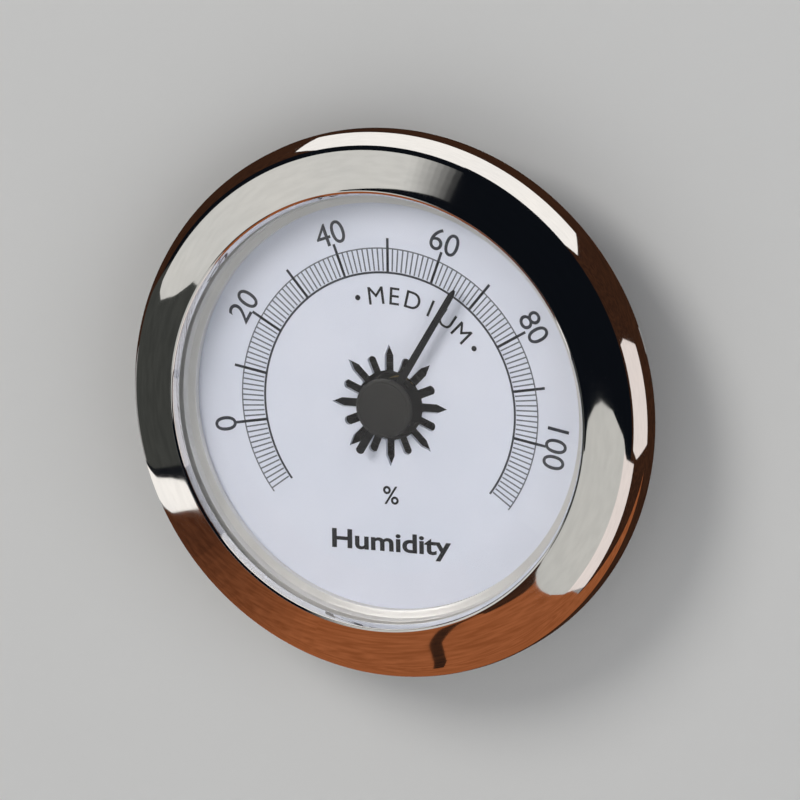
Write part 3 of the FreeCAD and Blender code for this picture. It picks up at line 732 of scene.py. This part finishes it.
# Each node's finish and the size of its edge rounding.
CAD_FINISH = {
    "steel_disc": ("zinc_steel", 0.12),
    "ring_magnet": ("ferrite", 0.15),
    "rear_case": ("black_plastic", 0.1),
    "lens_gasket": ("gasket_rubber", 0.0),
    "dial": ("dial_white", 0.0),
    "movement_bridge": ("black_steel", 0.05),
    "bridge_screws": ("bright_steel", 0.05),
    # The near-black brass finish below is painted shade for parts that sit behind the dial.
    "front_bush": ("blackened_brass", 0.04),
    "friction_washer": ("spring_bronze", 0.0),
    "calibration_screw": ("brass", 0.08),
    "coil_carrier": ("blackened_brass", 0.05),
    "coil_stud": ("blackened_brass", 0.03),
    "rear_bush": ("brass", 0.04),
    "humidity_coil": ("coil_strip", 0.0),
    "coil_collet": ("blackened_brass", 0.03),
    "pointer_arbor": ("bright_steel", 0.03),
    "pointer": ("black_steel", 0.04),
}


# ------------------------------------------------------------------- stage


def make_camera():
    """A long lens looking at the middle of the object along VIEW."""
    centre = (CAD_BOX[0] + CAD_BOX[1]) / 2
    data = bpy.data.cameras.new("camera")
    data.lens = CAMERA_LENS
    data.clip_start, data.clip_end = 0.01, 20
    camera = bpy.data.objects.new("camera", data)
    bpy.context.scene.collection.objects.link(camera)
    back = VIEW.normalized()
    place = Matrix.Translation(centre + back * CAMERA_DISTANCE)
    aim = back.to_track_quat("Z", "Y").to_matrix().to_4x4()
    roll = Matrix.Rotation(math.radians(CAMERA_ROLL), 4, "Z")
    camera.matrix_world = place @ aim @ roll
    bpy.context.scene.camera = camera


def soft_light(name, place, size, power, colour):
    """A round lamp aimed at the object, which isn't mirrored as a disc."""
    data = bpy.data.lights.new(name, "AREA")
    data.shape = "DISK"
    data.size = size
    data.energy = power
    data.color = colour
    lamp = bpy.data.objects.new(name, data)
    bpy.context.scene.collection.objects.link(lamp)
    lamp.location = place
    lamp.rotation_mode = "QUATERNION"
    lamp.rotation_quaternion = Vector(place).to_track_quat("Z", "Y")
    lamp.visible_camera = False
    lamp.visible_glossy = False


def staged(name, mesh):
    """Puts a mesh in the scene as part of the studio."""
    board = bpy.data.objects.new(name, mesh)
    bpy.context.scene.collection.objects.link(board)
    return board


def quad(name, corners, material):
    """A flat sheet with four corners."""
    mesh = bpy.data.meshes.new(name)
    mesh.from_pydata(corners, [], [range(len(corners))])
    mesh.materials.append(material)
    return staged(name, mesh)


def one_sided(look):
    """Makes a backdrop clear from behind, so the object's back can be seen through it."""
    side = look.nodes.new("ShaderNodeNewGeometry")
    clear = look.nodes.new("ShaderNodeBsdfTransparent")
    mix = look.nodes.new("ShaderNodeMixShader")
    look.links.new(side.outputs["Backfacing"], mix.inputs["Fac"])
    look.links.new(look.shader.outputs["BSDF"], mix.inputs[1])
    look.links.new(clear.outputs["BSDF"], mix.inputs[2])
    look.links.new(mix.outputs["Shader"], look.output.inputs["Surface"])
    return look


def make_room():
    """A pale wall just behind the object and a pale floor below it."""
    half, wall_y, floor_z = 2.0, 0.0001, -0.12
    wall_look = one_sided(studio_look("pale_wall", (0.80, 0.80, 0.79)))
    corners = [(-half, wall_y, -half), (half, wall_y, -half)]
    corners += [(half, wall_y, half), (-half, wall_y, half)]
    wall = quad("wall", corners, wall_look.material)
    wall.visible_diffuse = False
    wall.visible_glossy = False
    wall.visible_shadow = False
    floor_look = studio_look("pale_floor", (0.78, 0.78, 0.77))
    corners = [(-half, -half, floor_z), (half, -half, floor_z)]
    corners += [(half, half, floor_z), (-half, half, floor_z)]
    floor = quad("floor", corners, floor_look.material)
    floor.visible_glossy = False


def glow(name, colour, second=None, size_mm=40, squeeze=(1, 1, 1)):
    """A self-lit material for painted reflections, in colour, clouded with a second one or a little
    of its own shade.
    """
    material = bpy.data.materials.new(name)
    material.use_nodes = True
    nodes, links = material.node_tree.nodes, material.node_tree.links
    nodes.clear()
    light = nodes.new("ShaderNodeEmission")
    output = nodes.new("ShaderNodeOutputMaterial")
    links.new(light.outputs[0], output.inputs["Surface"])
    place = nodes.new("ShaderNodeTexCoord")
    mapping = nodes.new("ShaderNodeMapping")
    texture = nodes.new("ShaderNodeTexNoise")
    ramp = nodes.new("ShaderNodeValToRGB")
    mapping.inputs["Scale"].default_value = [s / (size_mm * MM) for s in squeeze]
    texture.inputs["Scale"].default_value = 1.0
    low, high = ramp.color_ramp.elements
    low.position, high.position = 0.35, 0.65
    low.color = (*(second or [0.93 * c for c in colour]), 1)
    high.color = (*colour, 1)
    links.new(place.outputs["Object"], mapping.inputs["Vector"])
    links.new(mapping.outputs["Vector"], texture.inputs["Vector"])
    links.new(texture.outputs["Fac"], ramp.inputs["Fac"])
    links.new(ramp.outputs["Color"], light.inputs["Color"])
    return material


def timber(name, light, dark):
    """A glowing card coloured like timber with level grain: a painted reflection of timber."""
    return glow(name, light, dark, 60, (1, 1, 5))


def mirrored(clock_deg, tilt_deg, distance):
    """The point that the main view sees mirrored in the ring at that clock angle and tilt.

    Tilt is how far the ring leans outwards there, 0 facing the reader.
    """
    clock, tilt = math.radians(clock_deg), math.radians(tilt_deg)
    outwards = Vector((math.sin(clock), 0, math.cos(clock)))
    normal = outwards * math.sin(tilt) + Vector((0, -math.cos(tilt), 0))
    viewer = VIEW.normalized()
    spot = outwards * FACE_RADIUS * MM + Vector((0, -FACE_DEPTH * MM, 0))
    return spot + distance * (2 * viewer.dot(normal) * normal - viewer)


def card(name, rows, material, distance=0.6):
    """A curved glowing card that only polished surfaces see, a painted reflection placed for the
    main view.

    Each row is (tilt, first clock angle, last clock angle) of the part of the ring that
    mirrors it. Where cards overlap, the one at the shorter distance is seen.
    """
    form = bmesh.new()
    widest = max(last - first for _, first, last in rows)
    columns = max(2, math.ceil(widest / CARD_CLOCK_STEP))
    strips = []
    for (tilt, first, last), (tilt2, first2, last2) in zip(rows, rows[1:]):
        parts = max(1, math.ceil((tilt2 - tilt) / CARD_TILT_STEP))
        for i in range(parts + 1):
            t = i / parts
            lean = tilt + (tilt2 - tilt) * t
            start, end = first + (first2 - first) * t, last + (last2 - last) * t
            clocks = [start + (end - start) * k / columns for k in range(columns + 1)]
            strips.append([form.verts.new(mirrored(c, lean, distance)) for c in clocks])
    for one, two in zip(strips, strips[1:]):
        for k in range(columns):
            form.faces.new((one[k], one[k + 1], two[k + 1], two[k]))
    touching = 1e-5
    bmesh.ops.remove_doubles(form, verts=form.verts, dist=touching)
    mesh = bpy.data.meshes.new(name)
    form.to_mesh(mesh)
    form.free()
    mesh.materials.append(material)
    board = staged(name, mesh)
    board.visible_camera = False
    board.visible_diffuse = False
    board.visible_shadow = False
    board.visible_transmission = False


# Colours of the painted reflections; timber and dusk, its painted shade, each have a light and a
# dark tone for the grain.
PALE, BLACK = Vector((0.68, 0.66, 0.61)), Vector((0.004, 0.005, 0.007))
TIMBER = Vector((0.35, 0.108, 0.039)), Vector((0.25, 0.072, 0.023))
DUSK = Vector((0.10, 0.034, 0.015)), Vector((0.06, 0.020, 0.009))


def upper_cards(black):
    """Painted reflections: pale at the upper left, fading into a dark flag at the upper right."""
    rows = [(0, 301, 368), (16, 301, 368), (21, 295, 368), (27, 292, 368), (33, 296, 368)]
    card("pale_upper_left", rows, glow("pale_card", PALE))
    strips, first, width, overlap = 8, 8, 1.5, 0.1
    for i in range(strips):
        colour = PALE.lerp(BLACK, (i + 0.5) / strips)
        start = first + width * i
        end = start + width + overlap
        card(f"fade_{i}", [(0, start, end), (33, start, end)], glow(f"fade_card_{i}", colour))
    rows = [(12, 350, 381), (14, 351, 381), (15.5, 365, 381), (17, 376, 381)]
    card("wedge_top", rows, black, 0.59)
    card("black_upper_right", [(0, 20, 100), (43, 20, 100)], black, 0.63)


def right_cards(rosy):
    """Painted reflections: a tall pale shape at the right with a warmer edge."""
    rows = [(0, 97, 126), (13, 96, 129), (15, 88, 132), (18, 84.5, 134), (21, 83.5, 134.5)]
    rows += [(25, 86, 134), (29, 92, 132), (33, 96, 130)]
    card("pale_right", rows, glow("softer_card", (0.58, 0.565, 0.52)))
    card("rosy_right", [(31, 95, 131), (36, 97, 130), (50, 98, 128)], rosy, 0.59)


def timber_cards(shade):
    """Painted reflections of warm timber below, with a dark streak of painted shade, and painted
    shade darkening them towards the lower left.
    """
    rows = [(0, 130, 241), (50, 130, 241), (75, 100, 241)]
    card("timber_low", rows, timber("timber_card", *TIMBER), 0.62)
    rows = [(12, 148, 158), (15, 159, 164), (20, 164, 167.5), (42, 166.5, 169)]
    card("timber_streak", rows, shade)
    card("timber_lip", [(0, 126, 152), (13, 129, 152), (15, 132, 150), (17, 134, 138)], shade, 0.61)
    strips, first, width, overlap, lean = 12, 196, 3, 0.1, 3
    for i in range(strips):
        share = (i + 0.5) / strips
        tones = [day.lerp(dusk, share) for day, dusk in zip(TIMBER, DUSK)]
        start = first + width * i
        end = start + width + overlap
        rows = [(0, start, end), (60, start + lean, end + lean)]
        card(f"dusk_{i}", rows, timber(f"dusk_card_{i}", *tones), 0.61)
    rows = [(0, 231, 241), (60, 234, 244)]
    card("timber_dusk", rows, timber("dusky_timber", *DUSK), 0.612)


def left_cards(bright, black):
    """Painted reflections: a bright strip and a black line at the lower left, and charcoal above
    them.
    """
    rows = [(13, 240, 246), (15, 240, 248), (21, 241, 249.5), (30, 242, 250.5)]
    rows += [(46, 244, 252.5), (60, 246, 254)]
    card("strip_lower_left", rows, bright, 0.58)
    rows = [(0, 238, 252), (13, 248, 252), (30, 250, 252.5), (60, 252, 255)]
    card("black_line", rows, black, 0.59)
    charcoal = glow("charcoal_card", (0.055, 0.056, 0.05), (0.045, 0.046, 0.041))
    card("charcoal_left", [(0, 250, 302), (33, 250, 302), (50, 250, 292)], charcoal, 0.63)


def edge_cards(bright, rosy, black, shade):
    """Painted reflections on the steep shoulder: a dark band, two bright crescents of painted
    highlight and dark timber in painted shade.
    """
    card("dark_band", [(32, 286, 457), (42, 289, 457)], black, 0.65)
    card("crescent_top", [(42, 345, 407), (50, 340, 411), (76, 345, 407)], bright, 0.65)
    card("crescent_right", [(46, 72, 95), (54, 71, 97), (76, 73, 94)], rosy, 0.62)
    card("timber_edge", [(41, 286, 460), (95, 250, 492)], shade, 0.67)
    card("timber_outside", [(49, 96, 140), (75, 96, 250), (95, 96, 250)], shade, 0.66)


def make_cards():
    """Glowing cards that only polished surfaces see: the painted reflections in the polished ring.
    """
    bright = glow("bright_card", (1.05, 1.0, 0.93))
    rosy = glow("rosy_card", (0.86, 0.76, 0.70))
    black = glow("black_card", BLACK)
    shade = timber("shaded_timber", (0.05, 0.02, 0.01), (0.028, 0.012, 0.007))
    upper_cards(black)
    right_cards(rosy)
    timber_cards(shade)
    left_cards(bright, black)
    edge_cards(bright, rosy, black, shade)


def make_world():
    """Even pale light, with a darker grey for what polished surfaces mirror."""
    world = bpy.data.worlds.new("studio")
    bpy.context.scene.world = world
    world.use_nodes = True
    nodes, links = world.node_tree.nodes, world.node_tree.links
    nodes.clear()
    output = nodes.new("ShaderNodeOutputWorld")
    mix = nodes.new("ShaderNodeMixShader")
    path = nodes.new("ShaderNodeLightPath")
    backgrounds = [((0.78, 0.80, 0.84, 1), 0.30), ((0.30, 0.29, 0.28, 1), 1.0)]
    for socket, (colour, strength) in zip((mix.inputs[1], mix.inputs[2]), backgrounds):
        background = nodes.new("ShaderNodeBackground")
        background.inputs["Color"].default_value = colour
        background.inputs["Strength"].default_value = strength
        links.new(background.outputs[0], socket)
    links.new(path.outputs["Is Glossy Ray"], mix.inputs["Fac"])
    links.new(mix.outputs[0], output.inputs["Surface"])


# Each lamp's name, place, size, power and colour.
LAMPS = [
    ("key", (-0.45, -0.75, 0.55), 0.5, 3.6, (1.0, 0.98, 0.95)),
    ("fill", (0.7, -0.6, 0.1), 0.6, 1.5, (0.93, 0.96, 1.0)),
    ("rear", (0.3, 0.7, 0.45), 0.6, 3.0, (1.0, 1.0, 1.0)),
]


# ---------------------------------------------------------------- assembly

make_bezel()
make_window()
make_spacer()
make_hub()
make_foam_pad()
print_scale()
print_numerals()
print_words()
for node, (slot, edge_mm) in CAD_FINISH.items():
    finish_node(node, slot, edge_mm)

make_camera()
make_room()
make_cards()
make_world()
for lamp in LAMPS:
    soft_light(*lamp)
bpy.context.scene.view_settings.view_transform = "Standard"
